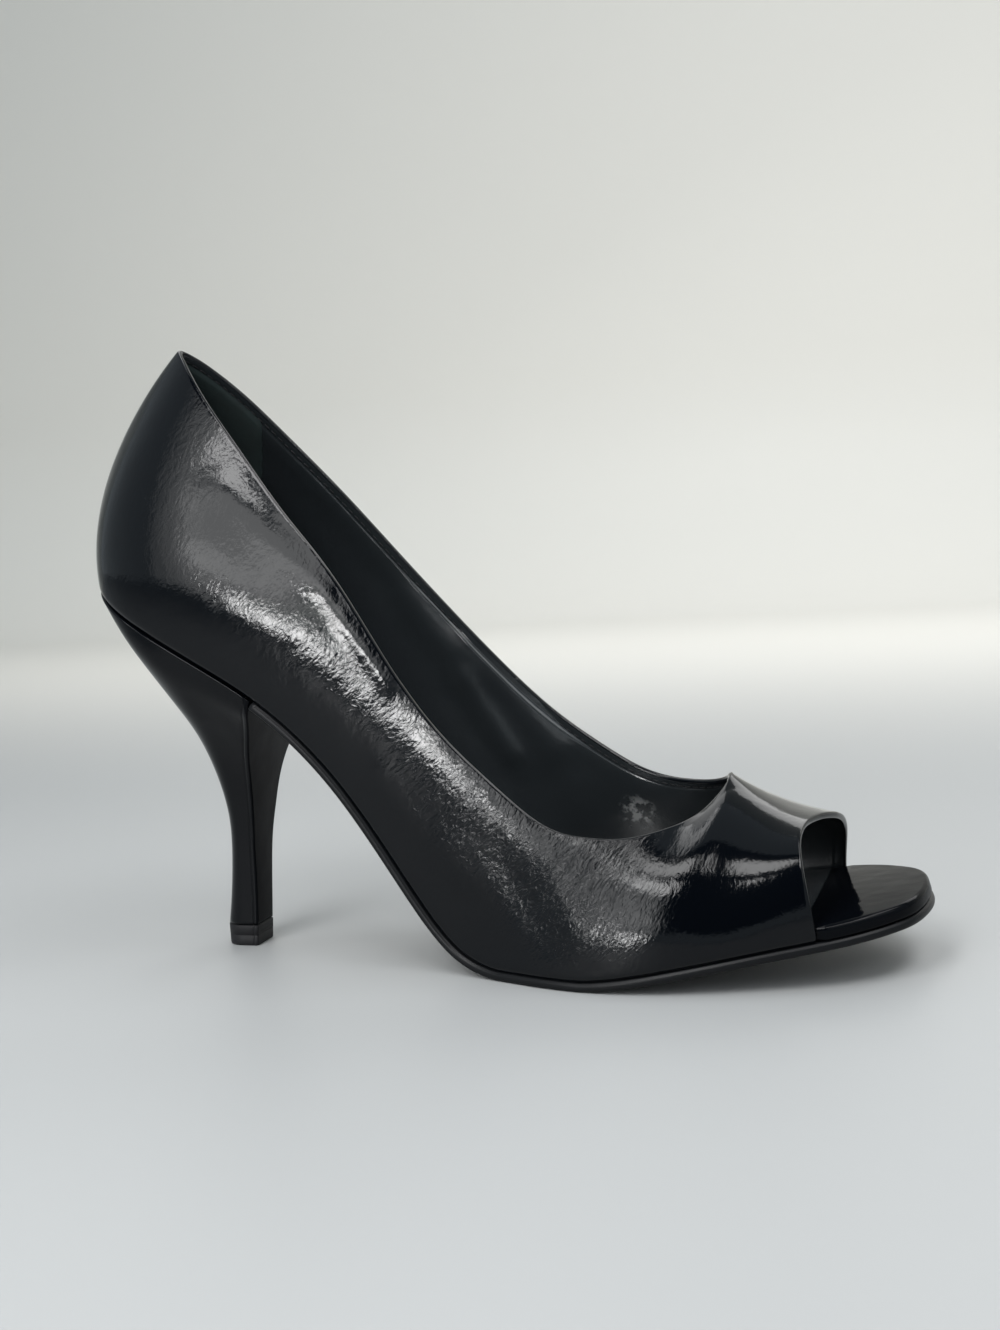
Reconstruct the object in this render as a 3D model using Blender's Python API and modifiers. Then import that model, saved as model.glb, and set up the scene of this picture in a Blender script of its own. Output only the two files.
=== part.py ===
"""Right peep toe pump: a hollow upper on a thin arched sole with a slim flared heel.

The foot points along +X, the outer (lateral) side is at -Y and the floor is z = 0.
Sizes are millimetres, measured from the back of the heel, and become metres in place().
"""

import math

import bmesh
import bpy
import numpy as np

MM = 0.001
MERGE = 0.00001
CENTRE_X = 114.7
CENTRE_Y = 0.4

WALL = 1.7
GAP = 0.3
SOLE = 2.3
BOARD = 3.6
BOARD_INSET = 2.4
BOARD_STEP = 0.1
FLAT_SPOT = SOLE + GAP
TIP_HEIGHT = 6.0

# Last row that carries the upper, the row at the throat and the row where the heel ends.
OPENING_ROW = 16
THROAT_ROW = 14
BREAST_ROW = 5.78

# Points down each side of a heel section, and how far from the back it is widest.
HEEL_POINTS = 15
HEEL_WIDEST = 0.52

# In front of this row the upper is evened out lengthwise.
EASE_ROW = 10
EASE_ROUNDS = 8

# In front of this row the ribs bow back, most at the toe opening.
SWING_ROW = 12
LATERAL_SWING = 14.0
MEDIAL_SWING = 0.0

# Bottom edge of the last, heel to toe tip:
# distance from the heel back, lateral half width, medial half width, height.
FOOT = (
    (1.4, 0.0, 0.0, 107.0),
    (2.9, 7.7, 7.7, 105.6),
    (7.2, 14.5, 14.5, 102.2),
    (14.8, 19.6, 19.6, 97.4),
    (25.8, 22.7, 22.5, 91.2),
    (42.0, 23.8, 23.2, 81.8),
    (60.0, 23.7, 21.6, 69.6),
    (79.0, 23.5, 19.8, 49.8),
    (96.0, 24.0, 20.2, 24.4),
    (110.0, 26.4, 24.0, 7.0),
    (124.0, 31.0, 31.0, 2.4),
    (138.0, 35.6, 36.6, 2.2),
    (152.0, 38.0, 38.9, 3.3),
    (166.0, 38.1, 38.9, 5.7),
    (180.0, 36.4, 37.6, 8.3),
    (192.0, 33.8, 36.0, 10.4),
    (203.0, 30.8, 33.3, 12.1),
    (213.0, 26.6, 28.8, 13.6),
    (220.6, 20.8, 22.6, 14.7),
    (225.8, 13.0, 14.8, 15.5),
    (228.0, -1.0, 1.0, 16.0),
)

# One rib of the upper for each row of FOOT, lateral side:
# top x, top y, top z, rise of the lower handle and its flare (degrees),
# reach of the upper handle and its inward lean (degrees).
LATERAL = (
    (30.0, 0.0, 169.3, 26.0, 30.0, 22.0, 30.0),
    (33.0, -4.5, 166.2, 26.0, 28.0, 22.0, 29.0),
    (37.5, -8.3, 160.8, 26.0, 24.0, 21.0, 27.0),
    (44.5, -12.3, 151.8, 25.0, 19.0, 20.0, 25.0),
    (54.5, -16.3, 139.3, 23.0, 15.0, 19.0, 20.0),
    (68.0, -19.8, 121.5, 20.0, 12.0, 17.0, 15.0),
    (83.0, -22.1, 102.0, 17.0, 10.0, 14.0, 10.0),
    (102.0, -23.7, 71.3, 13.0, 9.0, 11.0, 8.0),
    (121.0, -25.6, 51.2, 13.0, 8.0, 11.0, 12.0),
    (135.5, -27.4, 39.9, 14.0, 6.0, 10.0, 22.0),
    (146.5, -28.0, 36.8, 14.0, 6.0, 10.0, 32.0),
    (156.0, -26.8, 36.2, 14.0, 6.0, 11.0, 42.0),
    (165.5, -22.4, 37.6, 15.0, 5.0, 14.0, 55.0),
    (174.5, -13.6, 41.3, 16.0, 4.0, 18.0, 70.0),
    (179.5, -1.0, 47.4, 18.0, 3.0, 16.0, 84.0),
    (191.5, -1.0, 40.4, 19.0, 3.0, 20.0, 93.0),
    (202.0, -1.0, 37.5, 20.0, 2.0, 24.0, 95.0),
)

# The same for the medial side.
MEDIAL = (
    (30.0, 0.0, 169.3, 26.0, 30.0, 22.0, 30.0),
    (33.0, 4.5, 167.0, 26.0, 28.0, 22.0, 29.0),
    (37.5, 8.3, 162.6, 26.0, 24.0, 21.0, 27.0),
    (44.5, 12.3, 155.0, 25.0, 19.0, 20.0, 25.0),
    (54.5, 16.4, 142.9, 23.0, 15.0, 19.0, 20.0),
    (68.0, 19.9, 126.7, 20.0, 12.0, 17.0, 15.0),
    (83.0, 22.2, 108.1, 17.0, 10.0, 14.0, 10.0),
    (102.0, 23.8, 85.6, 14.0, 9.0, 12.0, 8.0),
    (121.0, 25.8, 65.0, 14.0, 8.0, 12.0, 12.0),
    (135.5, 27.2, 53.0, 15.0, 6.0, 12.0, 18.0),
    (146.5, 27.6, 45.8, 15.0, 6.0, 12.0, 26.0),
    (156.0, 25.6, 42.6, 15.0, 6.0, 13.0, 38.0),
    (165.5, 20.8, 42.3, 15.0, 5.0, 15.0, 52.0),
    (174.5, 12.6, 44.3, 15.0, 4.0, 18.0, 68.0),
    (179.5, -1.0, 47.4, 15.0, 3.0, 16.0, 80.0),
    (191.5, -1.0, 40.4, 15.0, 3.0, 21.0, 84.0),
    (202.0, -1.0, 37.5, 14.0, 2.0, 21.0, 83.0),
)

# Sections of the heel from the top piece to the seat:
# breast x, breast z, back x, back z, half width.
HEEL = (
    (41.8, TIP_HEIGHT + GAP, 30.8, TIP_HEIGHT + GAP, 5.0),
    (42.5, 16.0, 32.5, 16.3, 5.2),
    (43.4, 29.0, 34.1, 30.0, 6.0),
    (44.6, 38.5, 34.0, 40.5, 7.4),
    (45.8, 47.0, 31.9, 50.8, 9.4),
    (47.6, 55.2, 28.0, 62.3, 12.9),
    (50.1, 61.8, 22.4, 72.2, 16.8),
    (52.1, 66.4, 15.2, 83.2, 20.2),
    (53.4, 69.3, 7.9, 94.8, 22.5),
)

# Sections of the top piece, with the same columns.
TOP_PIECE = (
    (41.4, 0.0, 30.7, 0.0, 5.0),
    (41.8, TIP_HEIGHT, 30.7, TIP_HEIGHT, 5.1),
)


def place(x, y, z):
    """A point in millimetres as metres, with the shoe centred over the origin."""
    return ((x - CENTRE_X) * MM, (y - CENTRE_Y) * MM, z * MM)


def bends(values, closed):
    """Second differences of the smooth cubic curve through the values."""
    count = len(values)
    matrix = np.eye(count) * 4.0
    target = np.zeros_like(values)
    for i in range(count):
        if not closed and i in (0, count - 1):
            continue
        before, after = (i - 1) % count, (i + 1) % count
        matrix[i, before] = 1.0
        matrix[i, after] = 1.0
        target[i] = 6.0 * (values[before] - 2.0 * values[i] + values[after])
    return np.linalg.solve(matrix, target)


def smooth(rows, where, closed=False):
    """Read the smooth curve through the rows at the given row numbers."""
    values = np.array(rows, dtype=float)
    second = bends(values, closed)
    count = len(values)
    where = np.asarray(where, dtype=float)
    low = np.floor(where).astype(int)
    if not closed:
        low = np.clip(low, 0, count - 2)
    t = (where - low)[:, None]
    a, b = low % count, (low + 1) % count
    bow = ((1 - t) ** 3 - (1 - t)) * second[a] + (t ** 3 - t) * second[b]
    return (1 - t) * values[a] + t * values[b] + bow / 6.0


def foot_loop():
    """The closed edge of the last: lateral side to the toe tip, medial side back."""
    tip = len(FOOT) - 1
    lateral = [(x, -wide, z) for x, wide, _, z in FOOT]
    medial = [(x, wide, z) for x, _, wide, z in FOOT[tip - 1:0:-1]]
    return lateral + medial


def edge(where):
    """Points of the last's edge; row numbers below zero run up the medial side."""
    points = smooth(foot_loop(), where, closed=True)
    points[:, 2] = np.maximum(points[:, 2], FLAT_SPOT)
    return points


def outward(where):
    """Directions that point straight out of the last's edge, seen from above."""
    step = 0.01
    along = edge(where + step) - edge(where - step)
    along /= np.linalg.norm(along[:, :2], axis=1)[:, None]
    return np.column_stack([along[:, 1], -along[:, 0]])


def seat_line():
    """The side view of the last's bottom as fine lists of distances and heights."""
    rows = np.linspace(0.0, len(FOOT) - 1, 400)
    line = smooth([(row[0], row[3]) for row in FOOT], rows)
    return line[:, 0], np.maximum(line[:, 1], FLAT_SPOT)


SEAT_X, SEAT_Z = seat_line()
SEAT_SLOPE = np.gradient(SEAT_Z, SEAT_X)


def lift(x, y, height):
    """Points over the plan position, the given height square off the last's bottom."""
    slope = np.interp(x, SEAT_X, SEAT_SLOPE)
    size = np.sqrt(1.0 + slope ** 2)
    z = np.interp(x, SEAT_X, SEAT_Z)
    return np.column_stack([x - height * slope / size, y, z + height / size])


def make_object(name, points, faces, material, collection):
    """A mesh object from millimetre points, with doubled points merged."""
    body = bmesh.new()
    corners = [body.verts.new(place(*point)) for point in points]
    for face in faces:
        body.faces.new([corners[i] for i in face])
    bmesh.ops.remove_doubles(body, verts=body.verts, dist=MERGE)
    bmesh.ops.dissolve_degenerate(body, edges=body.edges, dist=MERGE)
    bmesh.ops.recalc_face_normals(body, faces=body.faces)
    mesh = bpy.data.meshes.new(name)
    body.to_mesh(mesh)
    body.free()
    mesh.materials.append(material)
    mesh.shade_smooth()
    mesh.set_sharp_from_angle(angle=math.radians(40))
    thing = bpy.data.objects.new(name, mesh)
    collection.objects.link(thing)
    return thing


def make_material(name, colour, roughness):
    """A plain Principled material."""
    material = bpy.data.materials.new(name)
    material.use_nodes = True
    shader = material.node_tree.nodes["Principled BSDF"]
    shader.inputs["Base Color"].default_value = (*colour, 1.0)
    shader.inputs["Roughness"].default_value = roughness
    shader.inputs["Metallic"].default_value = 0.0
    return material


def rings_to_solid(rings, name, material, collection):
    """Closed solid through equal rings, its two ends filled with strips."""
    count = len(rings[0])
    points = [point for ring in rings for point in ring]
    faces = []
    for level in range(len(rings) - 1):
        low, high = level * count, (level + 1) * count
        for i in range(count):
            j = (i + 1) % count
            faces.append((low + i, low + j, high + j, high + i))
    for start in (0, (len(rings) - 1) * count):
        for i in range(count // 2 - 1):
            j = count - 1 - i
            faces.append((start + i, start + i + 1, start + j - 1, start + j))
    return make_object(name, points, faces, material, collection)


def layer(name, rows, insets, levels, material, collection):
    """A sheet along the last's bottom: each row and each level has its own inset."""
    sides = np.concatenate([rows, -rows[::-1]])
    outline = edge(sides)[:, :2]
    normals = outward(sides)
    insets = np.concatenate([insets, insets[::-1]])
    rings = []
    for pull, height in levels:
        plan = outline - normals * (insets + pull)[:, None]
        rings.append(lift(plan[:, 0], plan[:, 1], height))
    return rings_to_solid(rings, name, material, collection)


def make_outsole(material, collection):
    """Thin sole from the heel breast over the arch and the ball to the toe tip."""
    rows = np.linspace(BREAST_ROW, len(FOOT) - 1, 50)
    levels = ((0.7, -SOLE - GAP), (0.0, -SOLE - GAP + 0.5), (0.0, -GAP - 0.4), (0.4, -GAP))
    return layer("outsole", rows, np.zeros_like(rows), levels, material, collection)


def make_insole(material, collection):
    """Board inside the upper; in front of the toe opening it has the full outline."""
    behind = np.linspace(0.0, OPENING_ROW + BOARD_STEP, 46)
    ahead = np.linspace(OPENING_ROW + 1.5 * BOARD_STEP, len(FOOT) - 1, 16)
    rows = np.concatenate([behind, ahead])
    insets = np.concatenate([np.full(len(behind), BOARD_INSET), np.zeros(len(ahead))])
    levels = ((0.5, 0.0), (0.0, 0.6), (0.0, BOARD - 1.2), (0.35, BOARD - 0.4), (1.2, BOARD))
    return layer("insole", rows, insets, levels, material, collection)


def rib_tops(where):
    """Upper ends of the ribs: the collar line, and the ridge in front of the throat."""
    collar = [row[:3] for row in LATERAL[THROAT_ROW::-1]]
    collar += [row[:3] for row in MEDIAL[1:THROAT_ROW]]
    ridge = [row[:3] for row in LATERAL[THROAT_ROW:OPENING_ROW + 1]]
    on_collar = smooth(collar, THROAT_ROW - where, closed=True)
    on_ridge = smooth(ridge, np.clip(np.abs(where) - THROAT_ROW, 0.0, len(ridge) - 1.0))
    return np.where((np.abs(where) > THROAT_ROW)[:, None], on_ridge, on_collar)


def rib_handles(where):
    """Rise, flare, reach and lean of the ribs."""
    table = [row[3:] for row in LATERAL[OPENING_ROW:0:-1]]
    table += [row[3:] for row in MEDIAL]
    return smooth(table, OPENING_ROW - where)


def ribs(where, steps):
    """Grid of points on the outside of the upper, one row of points for each rib."""
    foot = edge(where)
    foot[:, 2] = np.interp(foot[:, 0], SEAT_X, SEAT_Z)
    top = rib_tops(where)
    rise, flare, reach, lean = rib_handles(where).T
    flare, lean = np.radians(flare), np.radians(lean)
    out = np.column_stack([outward(where), np.zeros(len(where))])
    up = top - foot
    up[:, 1] = 0.0
    up /= np.linalg.norm(up, axis=1)[:, None]
    start = np.cos(flare)[:, None] * up + np.sin(flare)[:, None] * out
    finish = np.cos(lean)[:, None] * up - np.sin(lean)[:, None] * out
    low = foot + rise[:, None] * start
    high = top - reach[:, None] * finish
    swing = np.clip(np.abs(where) - SWING_ROW, 0.0, None) / (OPENING_ROW - SWING_ROW)
    swing = swing ** 3 * np.where(where > 0.0, LATERAL_SWING, MEDIAL_SWING)
    low[:, 0] -= swing / 10.0
    high[:, 0] -= swing
    t = np.linspace(0.0, 1.0, steps)[None, :, None]
    foot, low, high, top = (side[:, None, :] for side in (foot, low, high, top))
    return (1 - t) ** 3 * foot + 3 * (1 - t) ** 2 * t * low + 3 * (1 - t) * t ** 2 * high + t ** 3 * top


def ease(grid, where):
    """Even out the ribs around the throat, lengthwise, with the edges held still."""
    steps = grid.shape[1]
    height = np.linspace(0.0, 1.0, steps)
    hold = np.minimum(1.0, 3.0 * height) * (height < 1.0)
    near = np.clip((np.abs(where) - EASE_ROW) / 2.0, 0.0, 1.0)
    share = (near[:, None] * hold[None, :])[1:-1, :, None]
    for _ in range(EASE_ROUNDS):
        mean = 0.25 * (grid[:-2] + grid[2:]) + 0.5 * grid[1:-1]
        grid[1:-1] += share * (mean - grid[1:-1])
    return grid


def make_upper(material, collection):
    """One hollow wall: quarters, heel cup and vamp, open at the collar and the toe."""
    where = np.linspace(OPENING_ROW, -OPENING_ROW, 6 * OPENING_ROW + 1)
    steps = 13
    grid = ease(ribs(where, steps), where)
    faces = []
    for i in range(len(where) - 1):
        for j in range(steps - 1):
            k = i * steps + j
            faces.append((k, k + steps, k + steps + 1, k + 1))
    upper = make_object("upper", grid.reshape(-1, 3), faces, material, collection)
    wall = upper.modifiers.new("wall", "SOLIDIFY")
    wall.thickness = WALL * MM
    wall.offset = -1.0
    return upper


def heel_ring(front_x, front_z, back_x, back_z, half, fullness):
    """D-shaped section of the heel: flat at the breast, round at the back."""
    turn = np.linspace(0.0, 1.0, HEEL_POINTS)
    back = 1.0 - np.sin(turn * math.pi / 2.0)
    wide = half * np.sqrt(1.0 - (1.0 - np.minimum(back / HEEL_WIDEST, 1.0)) ** fullness)
    x = back_x + (front_x - back_x) * back
    z = back_z + (front_z - back_z) * back
    lateral = np.column_stack([x, -wide, z])
    medial = np.column_stack([x, wide, z])[::-1]
    return np.concatenate([lateral, medial])


def seat_ring(front_x, back_x):
    """Top edge of the heel, straight under the edge of the upper."""
    turn = np.linspace(0.0, 1.0, HEEL_POINTS)
    x = front_x + (back_x - front_x) * np.sin(turn * math.pi / 2.0)
    fine = np.linspace(0.0, BREAST_ROW + 1.0, 300)
    sides = []
    for side in (1.0, -1.0):
        line = edge(side * fine)
        sides.append(np.interp(x, line[:, 0], line[:, 1]))
    lateral = lift(x, sides[0], -GAP)
    medial = lift(x, sides[1], -GAP)[::-1]
    return np.concatenate([lateral, medial])


def make_heel(material, collection):
    """Slim covered heel that flares into the seat, hollowed at the back and breast."""
    last = len(HEEL) - 1
    rings = []
    levels = np.linspace(0.0, last, 22)
    for level, row in zip(levels, smooth(HEEL, levels)):
        rings.append(heel_ring(*row, 2.0 + 0.6 * level / last))
    breast_x = edge(np.array([BREAST_ROW]))[0, 0] - 2.0 * GAP
    rings.append(seat_ring(breast_x, FOOT[0][0]))
    return rings_to_solid(rings, "heel", material, collection)


def make_heel_tip(material, collection):
    """Small top piece that the heel stands on."""
    rings = [heel_ring(*row, 2.0) for row in TOP_PIECE]
    return rings_to_solid(rings, "heel_tip", material, collection)


def clear_scene():
    """Remove what a new Blender file holds."""
    for thing in list(bpy.data.objects):
        bpy.data.objects.remove(thing, do_unlink=True)


def main():
    """Build the shoe."""
    clear_scene()
    collection = bpy.data.collections.new("peep_toe_pump")
    bpy.context.scene.collection.children.link(collection)
    patent = make_material("crinkled_patent", (0.012, 0.013, 0.016), 0.15)
    cover = make_material("smooth_patent", (0.012, 0.013, 0.016), 0.12)
    board = make_material("wrapped_board", (0.02, 0.02, 0.022), 0.2)
    rubber = make_material("matte_rubber", (0.02, 0.02, 0.021), 0.6)
    plastic = make_material("matte_plastic", (0.02, 0.02, 0.02), 0.5)
    make_upper(patent, collection)
    make_insole(board, collection)
    make_outsole(rubber, collection)
    make_heel(cover, collection)
    make_heel_tip(plastic, collection)


main()
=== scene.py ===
"""Looks of the right peep toe pump: crinkled black patent, black lining, matte sole.

The foot points along +X, the lateral side is at -Y and faces the camera.
Sizes are millimetres, measured from the back of the heel, and become metres in place().
"""

import math

import bmesh
import bpy
import numpy as np
from mathutils import Matrix, Vector


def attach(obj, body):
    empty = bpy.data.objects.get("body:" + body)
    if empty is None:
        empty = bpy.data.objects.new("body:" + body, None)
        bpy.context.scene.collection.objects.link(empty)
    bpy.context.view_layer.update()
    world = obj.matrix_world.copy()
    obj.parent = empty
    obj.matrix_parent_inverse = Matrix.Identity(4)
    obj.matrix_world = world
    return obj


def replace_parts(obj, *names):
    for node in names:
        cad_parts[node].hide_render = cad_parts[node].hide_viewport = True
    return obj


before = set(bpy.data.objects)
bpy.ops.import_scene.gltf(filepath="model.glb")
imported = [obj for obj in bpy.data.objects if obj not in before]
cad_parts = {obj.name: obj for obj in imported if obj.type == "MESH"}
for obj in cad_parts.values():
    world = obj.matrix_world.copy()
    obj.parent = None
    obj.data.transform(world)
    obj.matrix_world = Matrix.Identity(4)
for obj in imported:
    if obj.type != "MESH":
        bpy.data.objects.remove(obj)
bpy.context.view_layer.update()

# One millimetre, the distance at which doubled points join, and the shoe's middle.
MM = 0.001
WELD = 0.000004
CENTRE_X = 114.7
CENTRE_Y = 0.4

# Thickness of the leather, the gap between pieces, the sole and the board; how far the
# board stays in from the edge; lowest height of the last; height of the top piece.
WALL = 1.7
GAP = 0.3
SOLE = 2.3
BOARD = 3.6
BOARD_INSET = 2.4
FLAT_SPOT = SOLE + GAP
TIP_HEIGHT = 6.0

# Last row that carries the upper, the row at the throat and the row where the heel ends.
OPENING_ROW = 16
THROAT_ROW = 14
BREAST_ROW = 5.78

# The CAD model evens out the upper in front of EASE_ROW on a grid this coarse, fading in
# over EASE_BLEND rows, and over a share of one in EASE_FOOT of each rib from its foot.
EASE_ROW = 10
EASE_BLEND = 2.0
EASE_FOOT = 3.0
EASE_ROUNDS = 8
CAD_PER_ROW = 6
CAD_STEPS = 12

# In front of this row the ribs bow back, most at the toe opening; the lower handles
# of the ribs take this share of it.
SWING_ROW = 12
LATERAL_SWING = 14.0
MEDIAL_SWING = 0.0
LOW_SWING = 0.1

# How finely the skin is built: points for each row, and steps up a rib.
PER_ROW = 15
STEPS = 84

# The folded edge of the leather: how far it bulges, and how wide its turned-in margin is.
FOLD_BULGE = 0.5
FOLD_MARGIN = 2.4
FOLD_POINTS = 7

# Stitches along the collar: distance below the edge, spacing, length, thickness, rings
# and sides of one stitch, and the stretch that its direction is read over.
STITCH_DROP = 1.5
STITCH_PITCH = 2.6
STITCH_LENGTH = 1.9
STITCH_THICKNESS = 0.4
STITCH_RINGS = 7
STITCH_SIDES = 8
STITCH_REACH = 0.4

# The heel grip's front seam, and the medial quarter seam, in the side view:
# start x, start z, end x, end z.
GRIP_SEAM = (47.4, 148.3, 39.0, 120.0)
QUARTER_SEAM = (79.0, 50.0, 116.0, 72.0)

# Bottom edge of the last, heel to toe tip:
# distance from the heel back, lateral half width, medial half width, height.
FOOT = (
    (1.4, 0.0, 0.0, 107.0),
    (2.9, 7.7, 7.7, 105.6),
    (7.2, 14.5, 14.5, 102.2),
    (14.8, 19.6, 19.6, 97.4),
    (25.8, 22.7, 22.5, 91.2),
    (42.0, 23.8, 23.2, 81.8),
    (60.0, 23.7, 21.6, 69.6),
    (79.0, 23.5, 19.8, 49.8),
    (96.0, 24.0, 20.2, 24.4),
    (110.0, 26.4, 24.0, 7.0),
    (124.0, 31.0, 31.0, 2.4),
    (138.0, 35.6, 36.6, 2.2),
    (152.0, 38.0, 38.9, 3.3),
    (166.0, 38.1, 38.9, 5.7),
    (180.0, 36.4, 37.6, 8.3),
    (192.0, 33.8, 36.0, 10.4),
    (203.0, 30.8, 33.3, 12.1),
    (213.0, 26.6, 28.8, 13.6),
    (220.6, 20.8, 22.6, 14.7),
    (225.8, 13.0, 14.8, 15.5),
    (228.0, -1.0, 1.0, 16.0),
)

# One rib of the upper for each row of FOOT, lateral side:
# top x, top y, top z, rise of the lower handle and its flare (degrees),
# reach of the upper handle and its inward lean (degrees).
LATERAL = (
    (30.0, 0.0, 169.3, 26.0, 30.0, 22.0, 30.0),
    (33.0, -4.5, 166.2, 26.0, 28.0, 22.0, 29.0),
    (37.5, -8.3, 160.8, 26.0, 24.0, 21.0, 27.0),
    (44.5, -12.3, 151.8, 25.0, 19.0, 20.0, 25.0),
    (54.5, -16.3, 139.3, 23.0, 15.0, 19.0, 20.0),
    (68.0, -19.8, 121.5, 20.0, 12.0, 17.0, 15.0),
    (83.0, -22.1, 102.0, 17.0, 10.0, 14.0, 10.0),
    (102.0, -23.7, 71.3, 13.0, 9.0, 11.0, 8.0),
    (121.0, -25.6, 51.2, 13.0, 8.0, 11.0, 12.0),
    (135.5, -27.4, 39.9, 14.0, 6.0, 10.0, 22.0),
    (146.5, -28.0, 36.8, 14.0, 6.0, 10.0, 32.0),
    (156.0, -26.8, 36.2, 14.0, 6.0, 11.0, 42.0),
    (165.5, -22.4, 37.6, 15.0, 5.0, 14.0, 55.0),
    (174.5, -13.6, 41.3, 16.0, 4.0, 18.0, 70.0),
    (179.5, -1.0, 47.4, 18.0, 3.0, 16.0, 84.0),
    (191.5, -1.0, 40.4, 19.0, 3.0, 20.0, 93.0),
    (202.0, -1.0, 37.5, 20.0, 2.0, 24.0, 95.0),
)

# The same for the medial side.
MEDIAL = (
    (30.0, 0.0, 169.3, 26.0, 30.0, 22.0, 30.0),
    (33.0, 4.5, 167.0, 26.0, 28.0, 22.0, 29.0),
    (37.5, 8.3, 162.6, 26.0, 24.0, 21.0, 27.0),
    (44.5, 12.3, 155.0, 25.0, 19.0, 20.0, 25.0),
    (54.5, 16.4, 142.9, 23.0, 15.0, 19.0, 20.0),
    (68.0, 19.9, 126.7, 20.0, 12.0, 17.0, 15.0),
    (83.0, 22.2, 108.1, 17.0, 10.0, 14.0, 10.0),
    (102.0, 23.8, 85.6, 14.0, 9.0, 12.0, 8.0),
    (121.0, 25.8, 65.0, 14.0, 8.0, 12.0, 12.0),
    (135.5, 27.2, 53.0, 15.0, 6.0, 12.0, 18.0),
    (146.5, 27.6, 45.8, 15.0, 6.0, 12.0, 26.0),
    (156.0, 25.6, 42.6, 15.0, 6.0, 13.0, 38.0),
    (165.5, 20.8, 42.3, 15.0, 5.0, 15.0, 52.0),
    (174.5, 12.6, 44.3, 15.0, 4.0, 18.0, 68.0),
    (179.5, -1.0, 47.4, 15.0, 3.0, 16.0, 80.0),
    (191.5, -1.0, 40.4, 15.0, 3.0, 21.0, 84.0),
    (202.0, -1.0, 37.5, 14.0, 2.0, 21.0, 83.0),
)

# Sections of the heel from the top piece to the seat:
# breast x, breast z, back x, back z, half width.
HEEL = (
    (41.8, TIP_HEIGHT + GAP, 30.8, TIP_HEIGHT + GAP, 5.0),
    (42.5, 16.0, 32.5, 16.3, 5.2),
    (43.4, 29.0, 34.1, 30.0, 6.0),
    (44.6, 38.5, 34.0, 40.5, 7.4),
    (45.8, 47.0, 31.9, 50.8, 9.4),
    (47.6, 55.2, 28.0, 62.3, 12.9),
    (50.1, 61.8, 22.4, 72.2, 16.8),
    (52.1, 66.4, 15.2, 83.2, 20.2),
    (53.4, 69.3, 7.9, 94.8, 22.5),
)

# Points down each side of a heel section, how far from the back it is widest, how full
# it is at the top piece and how much fuller at the seat, and the rounding of its breast
# corners, behind which the dull breast starts.
HEEL_POINTS = 48
HEEL_WIDEST = 0.52
HEEL_FULLNESS = 2.0
HEEL_FULLER = 0.6
HEEL_CORNER = 0.7
HEEL_BREAST_MARGIN = 0.5

# Sections up the heel, and the last steps to the seat, in rows from the top.
HEEL_LEVELS = 110
SEAT_START = 0.1
SEAT_STEPS = np.array((0.08, 0.06, 0.045, 0.03, 0.015, 0.0))

# The seam of the heel cover: depth, half width, distance behind the corner, and the
# points that carry it.
HEEL_SEAM_DEPTH = 0.22
HEEL_SEAM_HALF = 0.22
HEEL_SEAM_BEHIND = 0.7
HEEL_SEAM_POINTS = np.array((-0.45, -0.2, 0.0, 0.2, 0.45))

# Sections of the top piece, rounded below, with a fine mould line:
# breast x, back x, half width, height.
TOP_PIECE = (
    (40.9, 31.2, 4.5, 0.0),
    (41.25, 30.85, 4.85, 0.1),
    (41.4, 30.7, 5.0, 0.45),
    (41.55, 30.7, 5.05, 3.0),
    (41.4, 30.85, 4.9, 3.1),
    (41.6, 30.7, 5.05, 3.2),
    (41.8, 30.7, 5.1, 5.6),
    (41.7, 30.8, 5.0, 5.9),
    (41.4, 31.1, 4.7, 6.0),
)

# Edge of the sole from its lower rim up: inset, height off the last's bottom.
SOLE_LEVELS = (
    (0.9, -SOLE - GAP),
    (0.45, -SOLE - GAP + 0.07),
    (0.15, -SOLE - GAP + 0.3),
    (0.0, -SOLE - GAP + 0.7),
    (0.0, -GAP - 0.75),
    (0.05, -GAP - 0.62),
    (0.45, -GAP - 0.2),
    (0.6, -GAP),
)

# Rounding of the board's lower rim, with the same columns, and of its upper rim.
BOARD_LEVELS = ((0.5, 0.0), (0.1, 0.25), (0.0, 0.6))
RIM = 1.3

# The board widens between these rows, and the patent wraps it from this row on.
BOARD_NARROW_ROW = OPENING_ROW - 0.1
BOARD_WIDE_ROW = OPENING_ROW + 0.25
BOARD_PATENT_ROW = OPENING_ROW - 0.3

# Soft ridges and troughs (below zero) of the leather, seen from the side:
# side (-1 lateral, 1 medial), start x, start z, end x, end z, half width, height.
# They fade out over CREASE_BLEND towards the middle of the shoe.
CREASE_BLEND = 8.0
CREASES = (
    (-1, 52.0, 129.0, 75.0, 105.0, 4.4, 0.42),
    (-1, 79.0, 101.0, 95.0, 77.0, 2.8, 0.32),
    (-1, 92.0, 52.0, 112.0, 27.0, 4.5, 0.25),
    (-1, 112.0, 34.0, 128.0, 14.0, 5.0, 0.35),
    (-1, 124.0, 33.0, 138.0, 12.0, 4.0, -0.30),
    (-1, 138.0, 31.0, 146.0, 15.0, 3.6, 0.25),
    (1, 44.0, 140.0, 80.0, 96.0, 5.0, 0.40),
    (1, 96.0, 66.0, 116.0, 34.0, 5.0, 0.35),
    (1, 120.0, 40.0, 132.0, 16.0, 5.0, 0.30),
)

# The leather turns in at the foot edge: within this height, by this much. The heel's top
# edge turns in as much.
TUCK_HEIGHT = 1.6
TUCK_DEPTH = 0.7

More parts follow.
